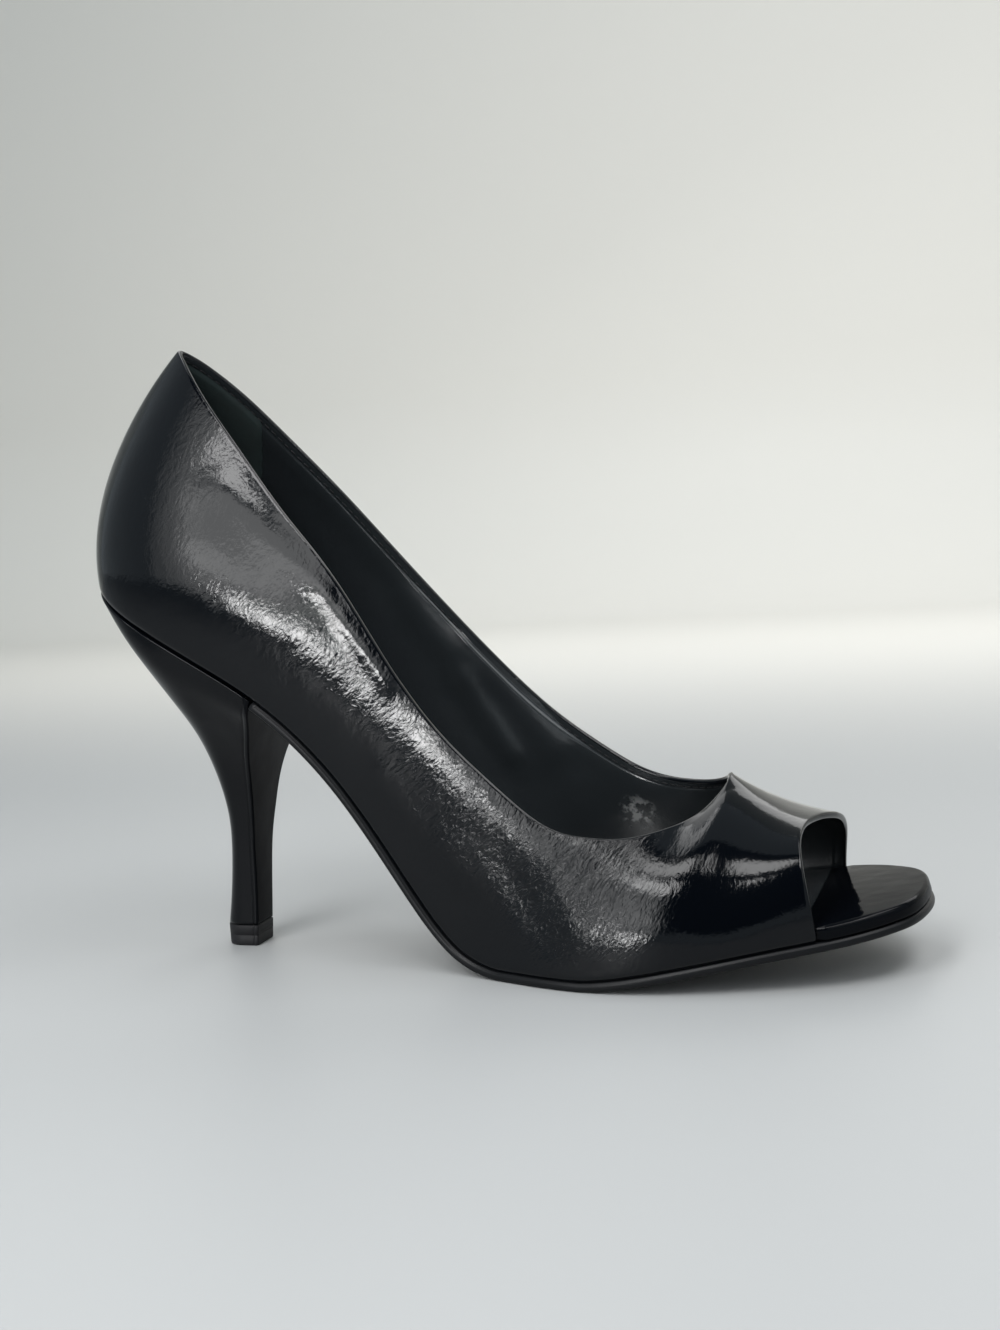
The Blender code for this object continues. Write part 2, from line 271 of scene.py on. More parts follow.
# How strongly the patent is crinkled all over and at most, and where more so, in the
# side view: centre x, centre z, reach, strength.
CRINKLE_BASE = 0.13
CRINKLE_MOST = 1.2
CRINKLES = (
    (40.0, 138.0, 20.0, 0.14),
    (66.0, 104.0, 22.0, 0.14),
    (88.0, 74.0, 18.0, 0.10),
    (112.0, 34.0, 18.0, 0.60),
    (142.0, 24.0, 18.0, 1.15),
)

# The crest of the vamp, where its two sides meet: place across, where the crinkles fade
# out, how fast and how wide, points on each side that are evened out, rounds, and the rows
# that this fades in over.
CREST_Y = -1.0
CREST_START = 172.0
CREST_FADE = 6.0
CREST_HALF = 4.0
CREST_REACH = 14
CREST_ROUNDS = 40
CREST_BLEND = 0.6

# Soft folds of the lining beyond LINING_FOLD_Y, in the side view:
# start x, start z, end x, end z, half width, height into the shoe.
LINING_FOLD_Y = 5.0
LINING_FOLDS = (
    (104.0, 82.0, 124.0, 52.0, 6.0, 1.1),
    (112.0, 84.0, 126.0, 66.0, 3.5, -0.8),
    (100.0, 70.0, 112.0, 50.0, 4.0, 0.8),
    (84.0, 96.0, 100.0, 74.0, 4.5, 0.8),
)

# The lining's depth under the inside of the leather against the distance from an edge,
# and how its foot edge dips against the height on the side.
LINING_RISE = ((FOLD_MARGIN - 0.5, FOLD_MARGIN + 0.1, 5.0), (-0.5, 0.2, 0.35))
LINING_DIP = ((0.0, 3.0), (-0.2, 0.0))

# Rows that the heel grip covers, and its added depth against the distance past its seam.
GRIP_ROWS = 4.6
GRIP_STEP = ((-0.4, 0.3), (0.4, -0.5))

# The pale worn patch on the lining: centre, reach, and how far it is at its palest.
SCUFF = (146.4, 30.0, 31.6)
SCUFF_REACH = 6.5
SCUFF_CORE = 2.0

# Camera: place in metres, yaw, pitch down and roll in degrees, lens in millimetres.
EYE = (0.1424, -0.4059, 0.1222)
YAW = -18.89
PITCH = 5.92
ROLL = 4.01
LENS = 43.5

# Colours of the leather, the lining, the heel grip, the small parts and the floor.
PATENT_BLACK = (0.0010, 0.0015, 0.0024)
COVER_BLACK = (0.0012, 0.0016, 0.0024)
LINING_BLACK = (0.014, 0.017, 0.019)
WORN_GREY = (0.19, 0.195, 0.195)
SUEDE_BLACK = (0.006, 0.0125, 0.0125)
SUEDE_TONES = ((0.008, 0.018, 0.018), (0.005, 0.010, 0.010))
SOLE_BLACK = (0.0035, 0.0038, 0.0044)
PLASTIC_BLACK = (0.008, 0.008, 0.0088)
THREAD_BLACK = (0.010, 0.010, 0.011)
CARD_BLACK = (0.01, 0.01, 0.01)
FLOOR_NEAR = ((0.295, 0.303, 0.306), (0.31, 0.318, 0.321))
FLOOR_FAR = (0.73, 0.71, 0.665)

# Colour of the surroundings, and the floor's half size, back, turn and top in metres.
ROOM = (0.47, 0.53, 0.565)
FLOOR_HALF = 4.0
FLOOR_BACK = 1.3
FLOOR_TURN = 0.25
FLOOR_TOP = 3.0

# Soft boxes round the shoe, seen from it: azimuth from the camera's side towards the toe,
# elevation, width, height and turn in degrees, distance in metres, radiance.
LIGHTS = (
    (-19.5, 4.5, 10.0, 4.2, 0.0, 1.2, 46.0),
    (-18.0, 13.0, 22.0, 12.0, 0.0, 1.2, 3.0),
    (-19.0, 24.0, 22.0, 22.0, 0.0, 0.62, 4.4),
    (-32.5, 26.0, 6.0, 44.0, 0.0, 0.62, 2.7),
    (-38.5, 26.0, 6.0, 44.0, 0.0, 0.62, 1.7),
    (-45.0, 26.0, 7.0, 44.0, 0.0, 0.62, 0.8),
    (-15.0, 44.0, 22.0, 11.0, -12.0, 0.66, 15.0),
    (-12.0, 60.0, 20.0, 13.0, 0.0, 0.66, 10.0),
    (46.0, 58.0, 30.0, 13.0, 0.0, 1.2, 9.0),
    (-100.0, 74.0, 40.0, 10.0, 0.0, 1.2, 5.0),
    (98.0, 62.0, 34.0, 18.0, 0.0, 1.6, 6.0),
    (60.0, 40.0, 46.0, 20.0, 0.0, 1.6, 1.2),
    (160.0, 34.0, 34.0, 18.0, 0.0, 1.1, 2.4),
    (-150.0, 48.0, 24.0, 34.0, 0.0, 1.1, 2.0),
)
LIGHT_CENTRE = (0.0, 0.0, 0.06)

# Black cards that the leather mirrors, with the same columns up to the turn.
DARK_PANELS = (
    (12.0, 30.0, 32.0, 50.0, 0.0),
    (0.0, 66.0, 60.0, 22.0, 0.0),
)
DARK_DISTANCE = 1.2


def place(points):
    """Millimetre points as metres, with the shoe centred over the origin."""
    return (np.asarray(points, dtype=float) - (CENTRE_X, CENTRE_Y, 0.0)) * MM


def bends(values, closed):
    """Second differences of the smooth cubic curve through the values."""
    count = len(values)
    matrix = np.eye(count) * 4.0
    target = np.zeros_like(values)
    for i in range(count):
        if not closed and i in (0, count - 1):
            continue
        before, after = (i - 1) % count, (i + 1) % count
        matrix[i, before] = 1.0
        matrix[i, after] = 1.0
        target[i] = 6.0 * (values[before] - 2.0 * values[i] + values[after])
    return np.linalg.solve(matrix, target)


def smooth(rows, where, closed=False):
    """Read the smooth curve through the rows at the given row numbers."""
    values = np.array(rows, dtype=float)
    second = bends(values, closed)
    count = len(values)
    where = np.asarray(where, dtype=float)
    low = np.floor(where).astype(int)
    if not closed:
        low = np.clip(low, 0, count - 2)
    t = (where - low)[:, None]
    a, b = low % count, (low + 1) % count
    bow = ((1 - t) ** 3 - (1 - t)) * second[a] + (t ** 3 - t) * second[b]
    return (1 - t) * values[a] + t * values[b] + bow / 6.0


def foot_loop():
    """The closed edge of the last: lateral side to the toe tip, medial side back."""
    tip = len(FOOT) - 1
    lateral = [(x, -wide, z) for x, wide, _, z in FOOT]
    medial = [(x, wide, z) for x, _, wide, z in FOOT[tip - 1:0:-1]]
    return lateral + medial


def edge(where):
    """Points of the last's edge; row numbers below zero run up the medial side."""
    points = smooth(foot_loop(), where, closed=True)
    points[:, 2] = np.maximum(points[:, 2], FLAT_SPOT)
    return points


def outward(where):
    """Directions that point straight out of the last's edge, seen from above."""
    step = 0.01
    along = edge(where + step) - edge(where - step)
    along /= np.linalg.norm(along[:, :2], axis=1)[:, None]
    return np.column_stack([along[:, 1], -along[:, 0]])


def seat_line():
    """The side view of the last's bottom as fine lists of distances and heights."""
    rows = np.linspace(0.0, len(FOOT) - 1, 400)
    line = smooth([(row[0], row[3]) for row in FOOT], rows)
    return line[:, 0], np.maximum(line[:, 1], FLAT_SPOT)


SEAT_X, SEAT_Z = seat_line()
SEAT_SLOPE = np.gradient(SEAT_Z, SEAT_X)


def lift(x, y, height):
    """Points over the plan position, the given height square off the last's bottom."""
    slope = np.interp(x, SEAT_X, SEAT_SLOPE)
    size = np.sqrt(1.0 + slope ** 2)
    z = np.interp(x, SEAT_X, SEAT_Z)
    return np.column_stack([x - height * slope / size, y, z + height / size])


def rib_tops(where):
    """Upper ends of the ribs: the collar line, and the ridge in front of the throat."""
    collar = [row[:3] for row in LATERAL[THROAT_ROW::-1]]
    collar += [row[:3] for row in MEDIAL[1:THROAT_ROW]]
    ridge = [row[:3] for row in LATERAL[THROAT_ROW:OPENING_ROW + 1]]
    on_collar = smooth(collar, THROAT_ROW - where, closed=True)
    on_ridge = smooth(ridge, np.clip(np.abs(where) - THROAT_ROW, 0.0, len(ridge) - 1.0))
    return np.where((np.abs(where) > THROAT_ROW)[:, None], on_ridge, on_collar)


def rib_handles(where):
    """Rise, flare, reach and lean of the ribs."""
    table = [row[3:] for row in LATERAL[OPENING_ROW:0:-1]]
    table += [row[3:] for row in MEDIAL]
    return smooth(table, OPENING_ROW - where)


def ribs(where, steps):
    """Grid of points on the outside of the upper, one row of points for each rib."""
    foot = edge(where)
    foot[:, 2] = np.interp(foot[:, 0], SEAT_X, SEAT_Z)
    top = rib_tops(where)
    rise, flare, reach, lean = rib_handles(where).T
    flare, lean = np.radians(flare), np.radians(lean)
    out = np.column_stack([outward(where), np.zeros(len(where))])
    up = top - foot
    up[:, 1] = 0.0
    up /= np.linalg.norm(up, axis=1)[:, None]
    start = np.cos(flare)[:, None] * up + np.sin(flare)[:, None] * out
    finish = np.cos(lean)[:, None] * up - np.sin(lean)[:, None] * out
    low = foot + rise[:, None] * start
    high = top - reach[:, None] * finish
    swing = np.clip(np.abs(where) - SWING_ROW, 0.0, None) / (OPENING_ROW - SWING_ROW)
    swing = swing ** 3 * np.where(where > 0.0, LATERAL_SWING, MEDIAL_SWING)
    low[:, 0] -= LOW_SWING * swing
    high[:, 0] -= swing
    t = np.linspace(0.0, 1.0, steps)[None, :, None]
    s = 1.0 - t
    foot, low, high, top = (side[:, None, :] for side in (foot, low, high, top))
    return s ** 3 * foot + 3.0 * s ** 2 * t * low + 3.0 * s * t ** 2 * high + t ** 3 * top


def evened(points):
    """The inner points, each moved halfway towards the middle of its two neighbours."""
    return 0.25 * (points[:-2] + points[2:]) + 0.5 * points[1:-1]


def ease(grid, where):
    """Even out the ribs around the throat as far as the CAD model does."""
    height = np.linspace(0.0, 1.0, grid.shape[1])
    hold = np.minimum(1.0, EASE_FOOT * height) * np.minimum(1.0, CAD_STEPS * (1.0 - height))
    near = np.clip((np.abs(where) - EASE_ROW) / EASE_BLEND, 0.0, 1.0)
    share = (near[:, None] * hold[None, :])[1:-1, :, None]
    for _ in range(round(EASE_ROUNDS * (PER_ROW / CAD_PER_ROW) ** 2)):
        grid[1:-1] += share * (evened(grid) - grid[1:-1])
    return grid


def grid_faces(rows, columns):
    """Quads of a grid of points that is stored row by row."""
    corner = (np.arange(rows - 1)[:, None] * columns + np.arange(columns - 1)).ravel()
    return np.column_stack([corner, corner + columns, corner + columns + 1, corner + 1])


def welded(points):
    """For each point, the number of the place that it shares with its doubles."""
    return np.unique(np.round(points, 4), axis=0, return_inverse=True)[1].ravel()


def surface_normals(points, faces):
    """Unit normals of the surface at each point, shared by doubled points."""
    place_of = welded(points)
    across = points[faces[:, 2]] - points[faces[:, 0]]
    along = points[faces[:, 3]] - points[faces[:, 1]]
    turned = np.cross(across, along)
    total = np.zeros((place_of.max() + 1, 3))
    for corner in range(4):
        np.add.at(total, place_of[faces[:, corner]], turned)
    total /= np.maximum(np.linalg.norm(total, axis=1), 1e-12)[:, None]
    return total[place_of]


def soften_crest(grid, where):
    """Round the ridge where the two sides meet between the throat and the toe opening."""
    for row in np.flatnonzero(where > THROAT_ROW):
        lateral, medial = grid[row], grid[len(where) - 1 - row]
        share = min((where[row] - THROAT_ROW) / CREST_BLEND, 1.0)
        across = np.concatenate([lateral[-CREST_REACH:], medial[-2:-CREST_REACH - 1:-1]])
        even = across.copy()
        for _ in range(CREST_ROUNDS):
            even[1:-1] = evened(even)
        across += (even - across) * share
        lateral[-CREST_REACH:] = across[:CREST_REACH]
        medial[-CREST_REACH:] = across[:CREST_REACH - 2:-1]
    return grid


def line_distance(x, z, start, end):
    """Distance from a stretch of line in the side view."""
    start, end = np.array(start), np.array(end)
    along = end - start
    t = ((x - start[0]) * along[0] + (z - start[1]) * along[1]) / (along @ along)
    t = np.clip(t, 0.0, 1.0)
    return np.hypot(x - start[0] - t * along[0], z - start[1] - t * along[1])


def crease_height(points):
    """How far the creases raise each point of the skin."""
    x, y, z = points.T
    height = np.zeros(len(points))
    for side, x0, z0, x1, z1, half, raised in CREASES:
        distance = line_distance(x, z, (x0, z0), (x1, z1))
        share = np.clip(side * y / CREASE_BLEND, 0.0, 1.0)
        height += raised * np.exp(-(distance / half) ** 2) * share
    return height


def skin():
    """The outside of the upper: rows, points, faces, outward normals and millimetre places."""
    where = np.linspace(OPENING_ROW, -OPENING_ROW, 2 * OPENING_ROW * PER_ROW + 1)
    grid = soften_crest(ease(ribs(where, STEPS + 1), where), where)
    faces = grid_faces(len(where), STEPS + 1)[:, ::-1]
    points = grid.reshape(-1, 3)
    normals = surface_normals(points, faces)
    points = points + normals * crease_height(points)[:, None]
    climb = np.linalg.norm(np.diff(grid, axis=1), axis=2)
    v = np.concatenate([np.zeros((len(where), 1)), np.cumsum(climb, axis=1)], axis=1).ravel()
    tuck = TUCK_DEPTH * np.clip(1.0 - v / TUCK_HEIGHT, 0.0, 1.0) ** 2
    inward = -outward(where).repeat(STEPS + 1, axis=0)
    points[:, :2] += inward * tuck[:, None]
    normals = surface_normals(points, faces)
    grid = points.reshape(len(where), STEPS + 1, 3)
    middle = STEPS // 3
    run = np.linalg.norm(np.diff(grid[:, middle], axis=0), axis=1)
    u = np.repeat(np.concatenate([[0.0], np.cumsum(run)]), STEPS + 1)
    return where, points, faces, normals, np.column_stack([u, v])


def loops(where):
    """Edges of the skin as point numbers, each with the sign for edge_directions()."""
    columns = STEPS + 1
    at = np.arange(len(where)) * columns
    collar = at[np.abs(where) <= THROAT_ROW + 1e-6] + STEPS
    medial_front = at[-1] + np.arange(1, columns)
    lateral_front = at[0] + np.arange(columns - 1)[::-1]
    foot = np.concatenate([at, medial_front, lateral_front])
    return ((collar[:-1], -1.0), (foot[:-1], 1.0))


def edge_directions(points, normals, loop, way):
    """Directions that leave the sheet square to its edge; the way is a loop's sign."""
    line = points[loop]
    tangent = np.roll(line, -1, axis=0) - np.roll(line, 1, axis=0)
    away = way * np.cross(normals[loop], tangent)
    return away / np.maximum(np.linalg.norm(away, axis=1), 1e-9)[:, None]


def new_object(name, data):
    """A new object in the scene."""
    thing = bpy.data.objects.new(name, data)
    bpy.context.scene.collection.objects.link(thing)
    return thing


def mesh_object(name, points, faces, materials, kinds=None, uv=None, crinkle=None):
    """A smooth-shaded object from millimetre points, with doubled points joined."""
    mesh = bpy.data.meshes.new(name)
    mesh.from_pydata(place(points).tolist(), [], [tuple(map(int, face)) for face in faces])
    for material in materials:
        mesh.materials.append(material)
    if kinds is not None:
        mesh.polygons.foreach_set("material_index", np.asarray(kinds, dtype=np.int32))
    if uv is not None:
        layer = mesh.uv_layers.new(name="skin")
        corner = np.zeros(len(mesh.loops), dtype=np.int32)
        mesh.loops.foreach_get("vertex_index", corner)
        layer.data.foreach_set("uv", np.asarray(uv)[corner].astype(np.float32).ravel())
    if crinkle is not None:
        strength = mesh.attributes.new("crinkle", "FLOAT", "POINT")
        strength.data.foreach_set("value", np.asarray(crinkle, dtype=np.float32))
    form = bmesh.new()
    form.from_mesh(mesh)
    bmesh.ops.remove_doubles(form, verts=form.verts, dist=WELD)
    bmesh.ops.dissolve_degenerate(form, edges=form.edges, dist=WELD)
    bmesh.ops.recalc_face_normals(form, faces=form.faces)
    form.to_mesh(mesh)
    form.free()
    mesh.shade_smooth()
    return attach(new_object(name, mesh), "root")


def crinkle_strength(points):
    """How strongly the patent is crinkled at each point."""
    strength = np.full(len(points), CRINKLE_BASE)
    for x, z, reach, amount in CRINKLES:
        away = np.hypot(points[:, 0] - x, points[:, 2] - z) / reach
        strength += amount * np.exp(-away ** 2)
    beside = np.abs(points[:, 1] - CREST_Y)
    ahead = np.clip((points[:, 0] - CREST_START) / CREST_FADE, 0.0, 1.0)
    smooth_share = ahead * np.exp(-(beside / CREST_HALF) ** 2)
    return np.clip(strength, 0.0, CRINKLE_MOST) * (1.0 - smooth_share)


def make_upper(sheet, patent, lining):
    """The leather: its patent outside and folded edges all round, and its plain inside."""
    where, points, faces, normals, uv = sheet
    count = len(points)
    all_points = [points, points - normals * WALL]
    all_faces = [faces, faces[:, ::-1] + count]
    all_uv = [uv, uv]
    start = 2 * count
    turn = np.linspace(0.0, math.pi, FOLD_POINTS + 2)[1:-1]
    for loop, way in loops(where):
        away = edge_directions(points, normals, loop, way)
        middle = points[loop] - normals[loop] * WALL / 2.0
        rings = [loop]
        for angle in turn:
            ring = middle + normals[loop] * math.cos(angle) * WALL / 2.0
            all_points.append(ring + away * math.sin(angle) * FOLD_BULGE)
            all_uv.append(uv[loop] + (0.0, math.sin(angle) * FOLD_BULGE))
            rings.append(start + np.arange(len(loop)))
            start += len(loop)
        rings.append(loop + count)
        for low, high in zip(rings[:-1], rings[1:]):
            all_faces.append(np.column_stack([low, np.roll(low, -1), np.roll(high, -1), high]))
    kinds = [np.full(len(part), int(i == 1)) for i, part in enumerate(all_faces)]
    upper = mesh_object(
        "upper_leather",
        np.concatenate(all_points),
        np.concatenate(all_faces),
        [patent, lining],
        kinds=np.concatenate(kinds),
        uv=np.concatenate(all_uv),
        crinkle=crinkle_strength(np.concatenate(all_points)),
    )
    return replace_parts(upper, "upper")


def line_gap(points, line):
    """Distance of each point from the nearest point of a fine line."""
    nearest = np.full(len(points), 1e9)
    for chunk in np.array_split(line, max(1, len(line) // 40)):
        gap = np.linalg.norm(points[:, None, :] - chunk[None, :, :], axis=2)
        nearest = np.minimum(nearest, gap.min(axis=1))
    return nearest


def edge_gap(sheet):
    """Distance of each point of the skin from the collar or the toe opening."""
    where, points, _, _, _ = sheet
    columns = STEPS + 1
    collar = loops(where)[0][0]
    line = np.concatenate([points[collar], points[:columns], points[-columns:]])
    return line_gap(points, line)


def fold_height(points):
    """How far the loose folds of the lining rise into the shoe, on the medial side."""
    x, y, z = points.T
    height = np.zeros(len(points))
    for x0, z0, x1, z1, half, raised in LINING_FOLDS:
        distance = line_distance(x, z, (x0, z0), (x1, z1))
        height += raised * np.exp(-(distance / half) ** 2) * (y > LINING_FOLD_Y)
    return height


def lining_points(points, normals, uv, gap, added):
    """Skin points moved in to the lining, deeper by the added depth."""
    depth = WALL + np.interp(gap, *LINING_RISE) + added
    inner = points - normals * depth[:, None]
    inner[:, 2] += np.interp(uv[:, 1], *LINING_DIP)
    return inner


def make_lining(sheet, gap, material):
    """Lining inside the upper; near the edges it dips under the folded margin."""
    _, points, faces, normals, uv = sheet
    inner = lining_points(points, normals, uv, gap, 0.0)
    inner -= normals * fold_height(inner)[:, None]
    lining = mesh_object("lining", inner, faces[:, ::-1], [material], uv=uv)
    return lining


def make_heel_grip(sheet, gap, material):
    """Suede-like lining round the back of the heel, laid over the main lining."""
    where, points, _, normals, uv = sheet
    columns = STEPS + 1
    x0, z0, x1, z1 = GRIP_SEAM
    keep = np.flatnonzero(np.abs(where) <= GRIP_ROWS)
    rows = np.concatenate([np.arange(row * columns, (row + 1) * columns) for row in keep])
    points, normals, uv, gap = points[rows], normals[rows], uv[rows], gap[rows]
    side = (points[:, 0] - x0) * (z0 - z1) - (points[:, 2] - z0) * (x0 - x1)
    ahead = side / math.hypot(x1 - x0, z1 - z0)
    inner = lining_points(points, normals, uv, gap, np.interp(ahead, *GRIP_STEP))
    faces = grid_faces(len(keep), columns)[:, ::-1]
    grip = mesh_object("heel_grip", inner, faces, [material], uv=uv)
    return grip


def even_points(line, pitch):
    """Evenly spaced points and directions along a closed line."""
    closed = np.concatenate([line, line[:1]])
    steps = np.linalg.norm(np.diff(closed, axis=0), axis=1)
    reached = np.concatenate([[0.0], np.cumsum(steps)])
    length = reached[-1]
    at = np.linspace(0.0, length, int(length / pitch), endpoint=False)

    def read(distance):
        """Points at distances along the line."""
        return np.column_stack([np.interp(distance % length, reached, axis) for axis in closed.T])

    along = read(at + STITCH_REACH) - read(at - STITCH_REACH)
    return read(at), along / np.linalg.norm(along, axis=1)[:, None]


def tube_faces(levels, count):
    """Quads between closed rings of so many points each, level by level."""
    faces = []
    for level in range(levels - 1):
        low = level * count + np.arange(count)
        high = low + count
        faces.append(np.column_stack([low, np.roll(low, -1), np.roll(high, -1), high]))
    return np.concatenate(faces)


def thread_shape():
    """Points and faces of one stitch, a short bead that lies along its first axis."""
    t = np.linspace(0.0, math.pi, STITCH_RINGS)
    x = -0.5 * STITCH_LENGTH * np.cos(t)
    radius = 0.5 * STITCH_THICKNESS * np.sin(t) ** 0.5
    turn = np.linspace(0.0, 2.0 * math.pi, STITCH_SIDES + 1)[:-1]
    rings = []
    for middle, reach in zip(x, radius):
        ring = [np.full(STITCH_SIDES, middle), reach * np.cos(turn), reach * np.sin(turn)]
        rings.append(np.column_stack(ring))
    return np.concatenate(rings), tube_faces(STITCH_RINGS, STITCH_SIDES)


def make_stitches(sheet, material):
    """A row of stitches along the collar, on the inside of the leather."""
    where, points, _, normals, _ = sheet
    loop, way = loops(where)[0]
    away = edge_directions(points, normals, loop, way)
    line = points[loop] - away * STITCH_DROP - normals[loop] * WALL
    middles, along = even_points(line, STITCH_PITCH)
    shape, quads = thread_shape()
    beads, faces = [], []
    for number, (middle, forward) in enumerate(zip(middles, along)):
        side = np.cross(forward, (0.0, 0.3, 1.0))
        side /= np.linalg.norm(side)
        turned = np.array([forward, side, np.cross(forward, side)])
        beads.append(middle + shape @ turned)
        faces.append(quads + number * len(shape))
    points, faces = np.concatenate(beads), np.concatenate(faces)
    stitches = mesh_object("collar_stitches", points, faces, [material])
    return stitches


def rings_object(name, rings, materials, kinds=None):
    """Closed solid through equal rings, its two ends filled with strips."""
    count = len(rings[0])
    points = np.concatenate(rings)
    faces = [tube_faces(len(rings), count)]
    for start in (0, (len(rings) - 1) * count):
        i = np.arange(count // 2 - 1)
        j = count - 1 - i
        faces.append(np.column_stack([start + i, start + i + 1, start + j - 1, start + j]))
    faces = np.concatenate(faces)
    picked = None if kinds is None else kinds(points[faces].mean(axis=1))
    return mesh_object(name, points, faces, materials, kinds=picked)


def layer(rows, insets, levels):
    """Rings of a sheet along the last's bottom; insets are by row, levels by height."""
    sides = np.concatenate([rows, -rows[::-1]])
    outline = edge(sides)[:, :2]
    normals = outward(sides)
    insets = np.concatenate([insets, insets[::-1]])
    rings = []
    for pull, height in levels:
        plan = outline - normals * (insets + pull)[:, None]
        rings.append(lift(plan[:, 0], plan[:, 1], height))
    return rings


def make_insole(patent, sock):
    """The board: sock lining behind the toe opening, wrapped in patent in front."""
    behind = np.linspace(0.0, BOARD_NARROW_ROW, 200)
    ahead = np.linspace(BOARD_WIDE_ROW, len(FOOT) - 1, 90)
    rows = np.concatenate([behind, ahead])
    insets = np.interp(rows, (BOARD_NARROW_ROW, BOARD_WIDE_ROW), (BOARD_INSET, 0.0))
    turn = np.linspace(0.0, math.pi / 2.0, 8)
    rim = [(RIM - RIM * math.cos(t), BOARD - RIM + RIM * math.sin(t)) for t in turn]
    rings = layer(rows, insets, [*BOARD_LEVELS, *rim])
    opening = edge(np.array([BOARD_PATENT_ROW]))[0, 0]

    def is_sock(middles):
        """Whether faces lie behind the toe opening."""
        return middles[:, 0] < opening

    insole = rings_object("insole_board", rings, [patent, sock], is_sock)
    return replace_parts(insole, "insole")


def make_outsole(rubber):
    """Thin matte sole with a bevelled upper edge and a softly rounded lower one."""
    rows = np.linspace(BREAST_ROW, len(FOOT) - 1, 260)
    rings = layer(rows, np.zeros_like(rows), SOLE_LEVELS)
    outsole = rings_object("outsole_edge", rings, [rubber])
    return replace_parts(outsole, "outsole")


def section_shares(depth):
    """Places along a heel section from its back to its breast, and the width cut there."""
    turn = np.linspace(0.0, math.pi / 2.0, HEEL_POINTS)
    side = (1.0 - np.cos(turn)) * (depth - HEEL_CORNER)
    seam = depth - HEEL_CORNER - HEEL_SEAM_BEHIND
    side = np.sort(np.concatenate([side, seam + HEEL_SEAM_POINTS]))
    seam_cut = HEEL_SEAM_DEPTH * np.exp(-((side - seam) / HEEL_SEAM_HALF) ** 2)
    turn = np.linspace(0.0, math.pi / 2.0, 7)[1:]
    corner = depth - HEEL_CORNER * (1.0 - np.sin(turn))
    corner_cut = HEEL_CORNER * (1.0 - np.cos(turn))
    return np.concatenate([side, corner]) / depth, np.concatenate([seam_cut, corner_cut])


def both_sides(x, wide, z):
    """A closed ring from the lateral side's points and the medial side's mirrored ones."""
    lateral = np.column_stack([x, -wide, z])
    medial = np.column_stack([x, wide, z])[::-1]
    return np.concatenate([lateral, medial])


def heel_ring(front_x, front_z, back_x, back_z, half, fullness):
    """D-shaped section of the heel with rounded breast corners."""
    share, cut = section_shares(front_x - back_x)
    bow = 1.0 - (1.0 - np.minimum(share / HEEL_WIDEST, 1.0)) ** fullness
    wide = np.maximum(half * np.sqrt(bow) - cut, 0.0)
    x = back_x + (front_x - back_x) * share
    z = back_z + (front_z - back_z) * share
    return both_sides(x, wide, z)


def seat_ring(front_x, back_x):
    """Top edge of the heel, straight under the edge of the upper."""
    share, cut = section_shares(front_x - back_x)
    x = back_x + (front_x - back_x) * share
    fine = np.linspace(0.0, BREAST_ROW + 1.0, 300)
    sides = []
    for side in (1.0, -1.0):
        line = edge(side * fine)
        sides.append(np.interp(x, line[:, 0], line[:, 1]) + side * cut)
    lateral = lift(x, sides[0], -GAP)
    medial = lift(x, sides[1], -GAP)[::-1]
    return np.concatenate([lateral, medial])


def make_heel(patent, breast):
    """Slim covered heel that flares into the seat."""
    last = len(HEEL) - 1
    fullness = [HEEL_FULLNESS + HEEL_FULLER * i / last for i in range(len(HEEL))]
    keys = [heel_ring(*row, full) for row, full in zip(HEEL, fullness)]
    breast_x = edge(np.array([BREAST_ROW]))[0, 0] - 2.0 * GAP
    keys.append(seat_ring(breast_x, FOOT[0][0]))
    shape = keys[0].shape
    table = np.array(keys).reshape(len(keys), -1)
    top = len(keys) - 1.0
    plain = np.linspace(0.0, top - SEAT_START, HEEL_LEVELS)
    levels = np.concatenate([plain, top - SEAT_STEPS])
    rings = [ring.reshape(shape) for ring in smooth(table, levels)]
    for ring, share in zip(rings[-len(SEAT_STEPS):], np.linspace(0.0, 1.0, len(SEAT_STEPS))):
        middle = ring.mean(axis=0)
        out = (ring - middle)[:, :2]
        out /= np.linalg.norm(out, axis=1)[:, None]
        ring[:, :2] -= out * TUCK_DEPTH * share ** 2
    breast_line = np.array(HEEL)

    def is_breast(middles):
        """Whether faces belong to the breast of the heel."""
        front = np.interp(middles[:, 2], breast_line[:, 1], breast_line[:, 0])
        return middles[:, 0] > front - HEEL_BREAST_MARGIN

    heel = rings_object("heel_cover", rings, [patent, breast], is_breast)
    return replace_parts(heel, "heel")


def make_heel_tip(plastic):
    """Small matte top piece with a mould line."""
    rings = []
    for front, back, half, z in TOP_PIECE:
        rings.append(heel_ring(front, z, back, z, half, HEEL_FULLNESS))
    tip = rings_object("top_piece", rings, [plastic])
    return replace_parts(tip, "heel_tip")


